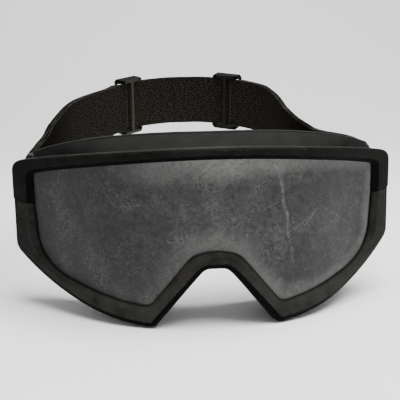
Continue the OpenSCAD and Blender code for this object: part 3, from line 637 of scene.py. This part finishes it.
def thread():
    """Bonded nylon sewing thread: dark grey with a slight lustre."""
    return spotted("nylon_thread_bonded", "#25241f", "#3d3b35", (1.5, 0.35, 0.65), 1, None, None,
                   0, Roughness=0.55, Specular_IOR_Level=0.25)


# Materials that several pieces share
nylon, acetal, rubbed_highlit_acetal, steel = rim_plastic(), hard_plastic(), worn_highlit_plastic(), dark_steel()
vent_foam, elastic, binding, sewing_thread = filter_foam(), webbing(), selvedge_yarn(), thread()


# Rim: the upper piece has a narrow outer bevel, and the lower one a broad one
def rim_section(bevel, black):
    """The rim's loops, from the back of its outer side over the front and down to the lens, each
    with a radius and a share of wear on its corner. The shares of black, a painted shade, are
    those of the faces between."""
    over_lens = SEAT - LENS_RECESS
    loops = wrap_loops(RIM, (0, -RIM_BACK), (0, -1.0), (0.22 * bevel, RIM_FACE - 0.7),
                       (bevel, RIM_FACE))
    loops += wrap_loops(WINDOW, (-INNER_BEVEL, RIM_FACE - 0.1), (-0.3 * INNER_BEVEL, -0.6),
                        (0, -1.2), (0, over_lens), (-POCKET, over_lens), (-POCKET, -RIM_BACK))
    radii = [0.25, 0.3, 0.3, 0.4, 0.5, 0.3, 0.2, 0.2, 0.05, 0.4]
    ridges = [1, 0.6, 0.5, 0.8, 0.6, 0, 0, 0, 0, 0]
    made, values = rounded(loops, radii, 4, black)
    values["wear"] = np.array(values["wear"]) * np.repeat(ridges, len(made) // len(loops))
    return made, values


def make_rims():
    count = len(loop(RIM))
    # Each list is the faces' shares of painted shade, black on the bevels and the inner lip
    for name, bevel, black, first, last, node in (
            ("upper_rim_moulding", UPPER_BEVEL, [0.1, 0.4, 0.8, 0.65, 1, 1, 1, 0, 0, 0],
             -SEAM_STATION, SEAM_STATION, "upper_rim"),
            ("lower_rim_moulding", LOWER_BEVEL, [0.5, 1, 1, 0, 0.1, 0.6, 1, 0, 0, 0],
             SEAM_STATION, count - SEAM_STATION, "lower_rim")):
        loops, values = rim_section(bevel, black)
        rim = band(name, loops, first, last, nylon, values, SEAM_GAP)
        even_shading(rim)
        place(rim, "goggle_frame", "rim_plastic", node)


def make_lens():
    """The lens as a grid of points that crowd together towards its sides."""
    columns, rows, side_gap, crowding = 190, 54, 0.05, math.pi / 2 * 0.94
    edge = loop(inset(WINDOW, -LENS_GRIP))
    half = edge[:len(edge) // 2 + 1]
    widest = int(np.argmax(half[:, 0]))
    top, low = half[:widest + 1], half[widest:][::-1]
    reach = half[widest, 0] - side_gap
    grid = []
    for x in reach * np.sin(np.linspace(-1, 1, columns) * crowding) / math.sin(crowding):
        high_z, low_z = [np.interp(abs(x), side[:, 0], side[:, 1]) for side in (top, low)]
        grid += [(x, low_z + (high_z - low_z) * t) for t in np.linspace(0, 1, rows)]
    flat = np.array(grid)
    window = loop(WINDOW)
    near = [np.min(np.hypot(window[:, 0] - x, window[:, 1] - z)) for x, z in flat]
    n = len(flat)
    faces = []
    for i in range(columns - 1):
        for a in range(i * rows, i * rows + rows - 1):
            faces += [(a, a + rows, a + rows + 1, a + 1),
                      (n + a, n + a + 1, n + a + rows + 1, n + a + rows)]
    border = list(range(0, n, rows)) + list(range(n - rows + 1, n))
    border += list(range(n - rows - 1, rows - 2, -rows)) + list(range(rows - 2, 0, -1))
    faces += [(a, b, n + b, n + a) for a, b in zip(border, border[1:] + border[:1])]
    sides = [on_wrap(flat, -LENS_RECESS), on_wrap(flat, -LENS_RECESS - LENS_T)]
    lens = finish_mesh("lens_sheet", np.vstack(sides), faces, lens_plastic(),
                       {"rim_distance": np.tile(near, 2)})
    place(lens, "goggle_frame", "lens", "lens")


def make_gasket():
    front, back = -(LENS_RECESS + LENS_T + SEAT), -(RIM_BACK + SEAT)
    loops = rounded(wrap_loops(WINDOW, (-LENS_GRIP, front), (-0.4, front), (-0.4, back),
                               (-LENS_GRIP, back)), [0.2] * 4, 3)[0]
    gasket = ring("lens_gasket_ring", loops, gasket_rubber())
    place(gasket, "goggle_frame", "gasket_rubber", "lens_gasket")


def slot_cutter(x, low, high, width):
    """The place of a vent slot's cutter, between the front lip and the back flange."""
    lip_back = on_wrap(np.stack([np.linspace(0, 95, 400), np.zeros(400)], 1), -LIP_BACK)
    front = np.interp(abs(x) + width / 2, lip_back[:, 0], lip_back[:, 1]) + SLOT_TO_LIP
    back = face_y(x) - FLANGE_T - SLOT_TO_FLANGE
    centre = Vector((x, (front + back) / 2, (low + high) / 2))
    size = Vector((width, max(back - front, 1.0), high - low))
    return Matrix.Translation(centre * MM) @ Matrix.Diagonal(size * MM).to_4x4()


def cut_vents(body):
    slots = [(k * TOP_PITCH, *TOP_SLOT) for k in range(-3, 4)]
    slots += [(side * (LOW_MIDDLE + k * LOW_PITCH), *LOW_SLOT)
              for side in (-1, 1) for k in (-1, 0, 1)]
    mesh = bpy.data.meshes.new("vent_cutters")
    bm = bmesh.new()
    for slot in slots:
        bmesh.ops.create_cube(bm, size=1.0, matrix=slot_cutter(*slot))
    bm.to_mesh(mesh)
    bm.free()
    cutter = new_object("vent_cutters", mesh)
    cut = body.modifiers.new("vents", "BOOLEAN")
    cut.object, cut.operation, cut.solver = cutter, "DIFFERENCE", "EXACT"
    plain_mesh(body)
    bpy.data.objects.remove(cutter)


def make_body():
    loops = rounded([
        *wrap_loops(WINDOW, (-LIP_OUT, -BODY_FRONT), (-0.6, -BODY_FRONT)),
        *face_loops(FLANGE, (WALL_IN + WALL_T, -FLANGE_FRONT), (FLANGE_W, -FLANGE_FRONT),
                    (FLANGE_W, 0)),
        *face_loops(BACK_EDGE, (0, 0), (0, -FLANGE_T)),
        *face_loops(FLANGE, (WALL_IN, -FLANGE_FRONT)),
        *wrap_loops(WINDOW, (-WALL_OUT, -LIP_BACK), (-LIP_OUT, -LIP_BACK))],
        [0.4, 0.4, 0.8, 0.4, 0.4, 0.7, 0.7, 1.0, 0.6, 0.4], 3)[0]
    body = ring("frame_body_skirt", loops, body_rubber())
    cut_vents(body)
    even_shading(body)
    place(body, "goggle_frame", "body_rubber", "frame_body")


def thinned(foot, crest, first, last, reach=6):
    """The crest of a wedge drawn down to its foot near both ends of a band, over some stations."""
    made = crest.copy()
    for i in range(first, last + 1):
        k = i % len(crest)
        made[k] = foot[k] + (crest[k] - foot[k]) * ease((min(i - first, last - i) + 1) / reach)
    return made


def make_vent_foams():
    front = wrap_loops(WINDOW, (VENT_EDGE - LIP_OUT, -LIP_BACK - SEAT))[0]
    foot, crest = face_loops(FLANGE, (WALL_IN - VENT_GAP, -FLANGE_FRONT - VENT_GAP),
                             (VENT_GAP, -FLANGE_T - VENT_GAP))
    top_end = round(EDGE_STEPS[0] * 6 / 7)
    skipped = 7
    first = SEAM_STATION + EDGE_STEPS[2] + CORNER_STEPS[3] + skipped
    last = first + EDGE_STEPS[3] - skipped
    count = len(front)
    for name, a, b, node in (("top_vent_filter", -top_end, top_end, "top_vent_foam"),
                             ("right_vent_filter", first, last, "right_vent_foam"),
                             ("left_vent_filter", count - last, count - first, "left_vent_foam")):
        loops = rounded([front, foot, thinned(foot, crest, a, b)], [0.1, 0.3, 0.3], 3)[0]
        place(band(name, loops, a, b, vent_foam), "goggle_frame", "vent_foam", node)


def ruffle(obj, grain, depth, seed):
    """Moves points along their normals by smooth noise, in millimetres, as foam and cloth lie."""
    mesh = obj.data
    for v, n in zip(mesh.vertices, [v.normal.copy() for v in mesh.vertices]):
        at = v.co / (grain * MM) + Vector((seed, seed * 2.0, seed * 3.0))
        v.co += n * noise.noise(at) * depth * MM


def make_face_foam():
    """The foam ring and the fleece on it, both with a crowned section."""
    inner, outer, crown = FLANGE_W - 0.4, FOAM_EDGE + 0.6, (FOAM_EDGE + FLANGE_W - 0.4) / 2
    in_brow, out_brow = inner - 2.2, FOAM_EDGE + 2.8
    belly, shoulder, brow = FOAM_T * 0.35, FOAM_T * 0.78, FOAM_T * 0.95
    loops = rounded(face_loops(
        FLANGE, (FOAM_EDGE + 0.8, SEAT), (inner, SEAT), (inner + 0.7, belly), (inner, shoulder),
        (in_brow, brow), (crown, FOAM_T), (out_brow, brow), (outer, shoulder), (FOAM_EDGE, belly)),
        [0.3, 0.3, 3, 2, 2, 3, 2, 2, 3], 3)[0]
    foam = ring("face_foam_pad", loops, seal_foam())
    ruffle(foam, 7.0, 0.16, 3)
    place(foam, "goggle_frame", "face_foam", "face_foam")
    over = SEAT + LINING_T
    skin = rounded(face_loops(
        FLANGE, (outer - SEAT, shoulder + SEAT), (out_brow - SEAT / 2, brow + SEAT),
        (crown, FOAM_T + SEAT), (in_brow + SEAT / 2, brow + SEAT), (inner + SEAT, shoulder + SEAT),
        (inner + over * 0.8, shoulder + over * 0.5), (in_brow + over * 0.5, brow + over),
        (crown, FOAM_T + over), (out_brow - over * 0.5, brow + over),
        (outer - over * 0.8, shoulder + over * 0.5)),
        [0.2, 1.5, 2, 1.5, 0.2, 0.3, 1.5, 2, 1.5, 0.3], 3)[0]
    lining = ring("face_foam_fleece", skin, fleece())
    ruffle(lining, 3.0, 0.12, 5)
    place(lining, "goggle_frame", "fleece", "foam_lining")


# Headband: the same line as the solid's, drawn with closer points
ACROSS = np.array([0, -math.sin(TILT), math.cos(TILT)])
ALONG = np.array([0, math.cos(TILT), math.sin(TILT)])
BAR_X = CLIP_X + CLIP_T / 2
BAR_OFF = (CLIP_T + STRAP_T) / 2 + LAYER_GAP
TURN_V = CLIP_SLOT + SLOT_ROOM + BAR_OFF + STRAP_T / 2
# Points of each side's line: inwards from the clip's bar, behind the pivot and below it
KNOTS = {-1: [(0, TURN_V, 0), (1, 18, 0), (4.7, 36.5, 0), (7.3, 62, 0), (16.5, 104, 0)],
         1: [(0, TURN_V, 0), (1, 18.3, 0.3), (5.5, 36.5, 3.2), (10.7, 51, 5.8), (14.2, 61, 6.9),
             (18.8, 81.3, 7.0), (22.8, 95.5, 4.6), (26.2, 111.8, 0.8)]}
LAYER_OFF = (STRAP_T + LAYER_GAP) / 2
MAIN_R = BACK_R - LAYER_OFF
FRONT_BAR_R = BACK_R + LAYER_OFF + STRAP_T / 2 + FOLD_GAP + BAR_T / 2
FOLD_R = BAR_T / 2 + FOLD_GAP + STRAP_T / 2
FRONT_BAR_TURN = math.degrees((SLIDER_LEN / 2 - BAR_T * 0.75) / BACK_R)


def band_point(x, v, drop):
    return PIVOT + [x, 0, 0] + ALONG * v - ACROSS * drop


BACK_CENTRE = band_point(BACK_X, BACK_REACH, 0)


def back_point(r, angle):
    a = math.radians(angle)
    return BACK_CENTRE + [r * math.cos(a), 0, 0] + ALONG * (r * math.sin(a))


def ease(t):
    s = min(max(t, 0.0), 1.0)
    return s * s * (3 - 2 * s)


def side_line(side, steps=14):
    """A smooth line through one side's points and on to the round back."""
    k = [band_point(side * (BAR_X - inwards), v, drop) for inwards, v, drop in KNOTS[side]]
    p = [2 * k[0] - k[1], *k, *[back_point(BACK_R, ROUND_END[side] + side * on) for on in (0, 8)]]
    line = []
    for i in range(1, len(p) - 2):
        for t in np.arange(steps) / steps:
            line.append(0.5 * (2 * p[i] + (p[i + 1] - p[i - 1]) * t
                               + (2 * p[i - 1] - 5 * p[i] + 4 * p[i + 1] - p[i + 2]) * t * t
                               + (3 * p[i] - p[i - 1] - 3 * p[i + 1] + p[i + 2]) * t**3))
    return line


def way_back(p, reach):
    return ease(np.linalg.norm(p - band_point(math.copysign(BAR_X, p[0]), TURN_V, 0)) / reach)


def out_dirs(line):
    line = np.array(line)
    ahead = np.vstack([line[1:], line[-1:]]) - np.vstack([line[:1], line[:-1]])
    out = np.cross(ACROSS, ahead)
    return out / lengths(out)


def shift_line(line, way):
    """A line moved sideways, by less the farther it is from the clip's bar."""
    return [p + out * (BAR_OFF + (LAYER_OFF - BAR_OFF) * way_back(p, 14)) * way
            for p, out in zip(line, out_dirs(line))]


def turn(side):
    return [band_point(side * (BAR_X + BAR_OFF * math.cos(a)), TURN_V - BAR_OFF * math.sin(a), 0)
            for a in np.radians(np.arange(0, 181, 10))]


def main_line():
    arc = [back_point(MAIN_R, a) for a in np.linspace(ROUND_END[-1], ROUND_END[1], 81)]
    return (turn(-1) + shift_line(side_line(-1), -1) + arc
            + shift_line(side_line(1), 1)[::-1] + turn(1)[::-1])


def outer_layer(side, hub):
    """A tail's line, from the clip over the headband to the slider."""
    return ([band_point(side * (BAR_X + BAR_OFF), TURN_V + 0.3, 0)]
            + shift_line(side_line(side), -side)[1:]
            + [back_point(BACK_R + LAYER_OFF, a)
               for a in np.linspace(ROUND_END[side], hub, 12, endpoint=False)])


def turned_end(side, hub):
    """The line of a tail's fold round the slider's bar, and that of its sewn end."""
    centre = back_point(FRONT_BAR_R, hub)
    out = unit(centre - BACK_CENTRE)
    on = np.cross(ACROSS, out) * side
    fold = [centre + out * FOLD_R * math.cos(a) + on * FOLD_R * math.sin(a)
            for a in np.radians(range(180, -1, -15))]
    low, high = BACK_R + LAYER_OFF + STRAP_T + FOLD_GAP, FRONT_BAR_R + FOLD_R
    sewn = [back_point(high + (low - high) * ease(s * 2.2 - 0.5),
                       hub - side * math.degrees(s * SEWN_LEN / BACK_R))
            for s in np.linspace(0.12, 1, 10)]
    return fold, sewn


def width_at(p):
    return STRAP_END_W + (STRAP_W - STRAP_END_W) * way_back(p, 22)


def strap_profile(count=10):
    """The webbing's section, across its thickness and across its width from -1 to 1. Both its
    edges are bound, and so a little thicker."""
    edge = [(0.5, -0.955), (0.56, -0.975), (0.42, -0.994), (0.0, -1.0), (-0.42, -0.994),
            (-0.56, -0.975), (-0.5, -0.955)]
    flat = [(-0.46, b) for b in np.linspace(-0.93, 0.93, count)]
    half = flat + [(-a, -b) for a, b in edge]
    return np.array(half + [(0.46, b) for a, b in flat[::-1]] + edge)


def webbing_piece(name, line, widths, wave_seed):
    """Webbing swept along a line, with a map of millimetres along and across it for the weave."""
    line, profile = np.array(line), strap_profile()
    travel = np.r_[0, np.cumsum(np.linalg.norm(np.diff(line, axis=0), axis=1))]
    rng = random.Random(wave_seed)
    phases = [rng.uniform(0, 6.28) for _ in WAVES]
    verts = []
    for p, out, width, s in zip(line, out_dirs(line), widths, travel):
        stray = sum(height * math.sin(s / length + phase)
                    for (height, length), phase in zip(WAVES, phases))
        verts += [p + out * a * STRAP_T + ACROSS * (b * width / 2 + stray * abs(b))
                  for a, b in profile]
    obj = finish_mesh(name, verts, swept_faces(len(line), len(profile)), elastic)
    layer = obj.data.uv_layers.new(name="weave")
    for corner in obj.data.loops:
        i, j = divmod(corner.vertex_index, len(profile))
        layer.data[corner.index].uv = (travel[i], profile[j][1] * STRAP_W / 2)
    return obj


# Geometry Nodes: pieces that repeat along a line
def repeat_tree(name, slanted):
    """Sets small rods at even steps along a line: stitches lie along it, and binding yarn crosses
    it, slanted."""
    tree = bpy.data.node_groups.new(name, "GeometryNodeTree")
    sockets = [("Line", "INPUT", "Geometry"), ("Pitch", "INPUT", "Float"),
               ("Rod length", "INPUT", "Float"), ("Rod radius", "INPUT", "Float"),
               ("Yarn", "INPUT", "Material"), ("Seed", "INPUT", "Int"),
               ("Geometry", "OUTPUT", "Geometry")]
    for socket, way, kind in sockets:
        tree.interface.new_socket(name=socket, in_out=way, socket_type=f"NodeSocket{kind}")
    given = add(tree, "NodeGroupInput").outputs
    curve = add(tree, "GeometryNodeMeshToCurve", {"Mesh": given["Line"]})
    points = add(tree, "GeometryNodeCurveToPoints", {"Curve": curve, "Length": given["Pitch"]},
                 mode="LENGTH").outputs
    rod = add(tree, "GeometryNodeMeshCylinder", {
        "Vertices": 6, "Side Segments": 3, "Radius": given["Rod radius"],
        "Depth": given["Rod length"]}, fill_type="NGON")
    way = points["Tangent"]
    if slanted:
        way = add(tree, "GeometryNodeInputNamedAttribute", {"Name": "rod_way"},
                  data_type="FLOAT_VECTOR")
    aim = add(tree, "FunctionNodeAlignRotationToVector", {"Vector": way}, axis="Z")
    size = add(tree, "FunctionNodeRandomValue", {
        "Min": (0.88,) * 3, "Max": (1.1,) * 3, "Seed": given["Seed"]},
        data_type="FLOAT_VECTOR")
    made = add(tree, "GeometryNodeInstanceOnPoints", {
        "Points": points["Points"], "Instance": rod, "Rotation": aim, "Scale": size})
    made = add(tree, "GeometryNodeRealizeInstances", {"Geometry": made})
    made = add(tree, "GeometryNodeSetShadeSmooth", {"Geometry": made})
    made = add(tree, "GeometryNodeSetMaterial", {"Geometry": made, "Material": given["Yarn"]})
    add(tree, "NodeGroupOutput", {"Geometry": made})
    return tree


stitch_tree, binding_tree = repeat_tree("stitch_row", False), repeat_tree("edge_binding", True)


def along_lines(name, lines, tree, sizes, material, seed, ways=None):
    """Runs a tree on open lines, given in millimetres, and keeps the result as one plain mesh."""
    edges, start = [], 0
    for points in lines:
        edges += [(start + i, start + i + 1) for i in range(len(points) - 1)]
        start += len(points)
    mesh = bpy.data.meshes.new(name)
    mesh.from_pydata([tuple(v) for v in np.vstack(lines) * MM], edges, [])
    if ways is not None:
        layer = mesh.attributes.new("rod_way", "FLOAT_VECTOR", "POINT")
        layer.data.foreach_set("vector", np.vstack(ways).astype(np.float32).ravel())
    obj = new_object(name, mesh)
    modifier = obj.modifiers.new("repeat", "NODES")
    modifier.node_group = tree
    pitch, length, radius = [size * MM for size in sizes]
    values = {"Pitch": pitch, "Rod length": length, "Rod radius": radius, "Yarn": material,
              "Seed": seed}
    for item in tree.interface.items_tree:
        if item.name in values:
            modifier[item.identifier] = values[item.name]
    plain_mesh(obj)
    return obj


def edge_binding(name, line, widths, seed):
    """The bound edges of a piece of webbing: slanted yarn over each edge."""
    line, outs = np.array(line), out_dirs(line)
    ahead = np.gradient(line, axis=0)
    ahead /= lengths(ahead)
    reach = np.array(widths)[:, None] / 2 - EDGE_YARN[2]
    lines = [line + ACROSS * side * reach for side in (-1, 1)]
    return along_lines(name, lines, binding_tree, EDGE_YARN, binding, seed,
                       [outs + ahead * YARN_SLANT] * 2)


def box_stitch(sewn):
    """Two rows of stitches across the turned end and one along each of its sides."""
    first, half, above = 3, STRAP_W / 2 - END_TAPER - 2.2, STRAP_T / 2 + 0.06
    face = [p + out * above * (1 if np.dot(out, p - BACK_CENTRE) > 0 else -1)
            for p, out in zip(sewn, out_dirs(sewn))]
    rows = [[face[k] + ACROSS * half * t for t in np.linspace(-1, 1, 14)]
            for k in (first, len(face) - 2)]
    return rows + [[p + ACROSS * half * end for p in face[first:-1]] for end in (-1, 1)]


def follow(obj, side, hub, *nodes):
    """Bakes a piece of a tail where it lies, and hides the solids that it stands for."""
    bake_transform(obj)
    if nodes:
        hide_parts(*nodes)


def make_tail(side, name):
    """One tail with its bound edges, and the stitches of its sewn end."""
    hub = SLIDER_AT[side] - side * FRONT_BAR_TURN
    outer = outer_layer(side, hub)
    fold, sewn = turned_end(side, hub)
    widths = [width_at(p) for p in outer] + [STRAP_W - 2 * END_TAPER] * (len(fold) + len(sewn))
    tail = webbing_piece(f"{name}_tail_webbing", outer + fold + sewn, widths, 5 + side)
    follow(tail, side, hub, f"{name}_tail")
    edges = edge_binding(f"{name}_tail_binding", outer, widths[:len(outer)], 7 + side)
    follow(edges, side, hub)
    stitches = along_lines(f"{name}_tail_stitches", box_stitch(sewn), stitch_tree, BOX_STITCH,
                           sewing_thread, 9)
    follow(stitches, side, hub)


def make_bar_stitches(side, name):
    """The stitches across the headband's inner face, just before a slider."""
    half_row = 12.5
    foot = back_point(MAIN_R - STRAP_T / 2 - 0.12, SLIDER_AT[side] - side * 3.6)
    row = [foot + ACROSS * t for t in np.linspace(-half_row, half_row, 12)]
    stitches = along_lines(f"{name}_bar_stitches", [row], stitch_tree, BAR_STITCH, sewing_thread, 4)
    place(stitches, "headband", "webbing")


def make_headband():
    line = main_line()
    widths = [width_at(p) for p in line]
    strap = webbing_piece("headband_webbing", line, widths, 11)
    place(strap, "headband", "webbing", "head_strap")
    place(edge_binding("headband_binding", line, widths, 2), "headband", "webbing")
    for side, name in ((-1, "left"), (1, "right")):
        make_tail(side, name)
        make_bar_stitches(side, name)


def mark_bars(obj, wear):
    """Marks the bars of a slider, between its two rails, with a share of painted highlight."""
    layer = obj.data.attributes.new("bar", "FLOAT", "FACE")
    across = [(np.array(face.center) / MM - BACK_CENTRE) @ ACROSS for face in obj.data.polygons]
    layer.data.foreach_set("value", [wear if abs(w) < STRAP_W / 2 - 1 else 0.0 for w in across])


def make_hardware():
    # Each slider's share of painted highlight on its bars
    for side, wear in (("left", 0.9), ("right", 0.3)):
        slider = softened(f"{side}_slider_glide", f"{side}_slider", rubbed_highlit_acetal, 0.4)
        mark_bars(slider, wear)
        place(slider, f"{side}_slider", "hard_plastic")
        for piece, node, material, width, segments, body, slot in (
                ("clip_plate", "clip", acetal, 0.35, 3, "headband", "hard_plastic"),
                ("bracket_plate", "bracket", acetal, 0.3, 3, "goggle_frame", "hard_plastic"),
                ("rivet_pin", "rivet", steel, 0.12, 2, "goggle_frame", "dark_steel")):
            obj = softened(f"{side}_{piece}", f"{side}_{node}", material, width, segments)
            place(obj, body, slot)
    screws = softened("bracket_screw_set", "bracket_screws", steel, 0.1, 2)
    place(screws, "goggle_frame", "dark_steel")


def make_stage():
    """A pale floor that rises into a backdrop, a broad soft lamp overhead and a weaker one in
    front, in metres."""
    floor_z, bend_y, bend_r, top_z = -0.0456, 0.55, 0.5, 2.4
    profile = [(-1.6, 0.0), (bend_y, 0.0)]
    profile += [(bend_y + bend_r * math.sin(a), bend_r - bend_r * math.cos(a))
                for a in np.linspace(0.15, math.pi / 2, 10)]
    profile += [(bend_y + bend_r, top_z)]
    n = len(profile)
    mesh = bpy.data.meshes.new("studio_floor")
    mesh.from_pydata([(x, y, z + floor_z) for x in (-2.5, 2.5) for y, z in profile], [],
                     [(i, n + i, n + i + 1, i + 1) for i in range(n - 1)])
    shade_smooth(mesh)
    mesh.materials.append(new_material("paper_backdrop", Base_Color=tone("#f6f6f6"), Roughness=0.9,
                                       Specular_IOR_Level=0.1)[0])
    new_object("studio_floor", mesh)
    world = bpy.data.worlds.new("studio_light")
    bpy.context.scene.world = world
    world.use_nodes = True
    light = world.node_tree.nodes["Background"].inputs
    light["Color"].default_value, light["Strength"].default_value = (1, 1, 1, 1), 0.4
    for name, at, size, power in (("lamp_over", (0.2, -0.15, 0.85), 0.9, 24.0),
                                  ("lamp_front", (0.5, -1.1, 0.35), 0.8, 1.5)):
        lamp = bpy.data.lights.new(name, "AREA")
        lamp.shape, lamp.size, lamp.energy = "DISK", size, power
        obj = new_object(name, lamp)
        obj.location = at
        aim = Vector((0, 0.05, 0)) - Vector(at)
        obj.rotation_euler = aim.to_track_quat("-Z", "Y").to_euler()


def make_camera():
    """A camera at the photograph's angle, distance and lens length."""
    camera = bpy.data.cameras.new("camera")
    camera.sensor_width, camera.lens = 36.0, 79.36
    camera.clip_start, camera.clip_end = 0.01, 20
    obj = new_object("camera", camera)
    right, up = Vector((0.9953, -0.09554, -0.01589)), Vector((0.03376, 0.18847, 0.9815))
    ahead = Vector((0.09078, 0.97742, -0.19081))
    spot = Vector((-40.24, -398.29, 81.70)) * MM
    turned = Matrix((right, up, -ahead)).transposed().to_4x4()
    obj.matrix_world = Matrix.Translation(spot) @ turned
    bpy.context.scene.camera = obj


make_rims()
make_lens()
make_gasket()
make_body()
make_vent_foams()
make_face_foam()
make_headband()
make_hardware()
make_stage()
make_camera()
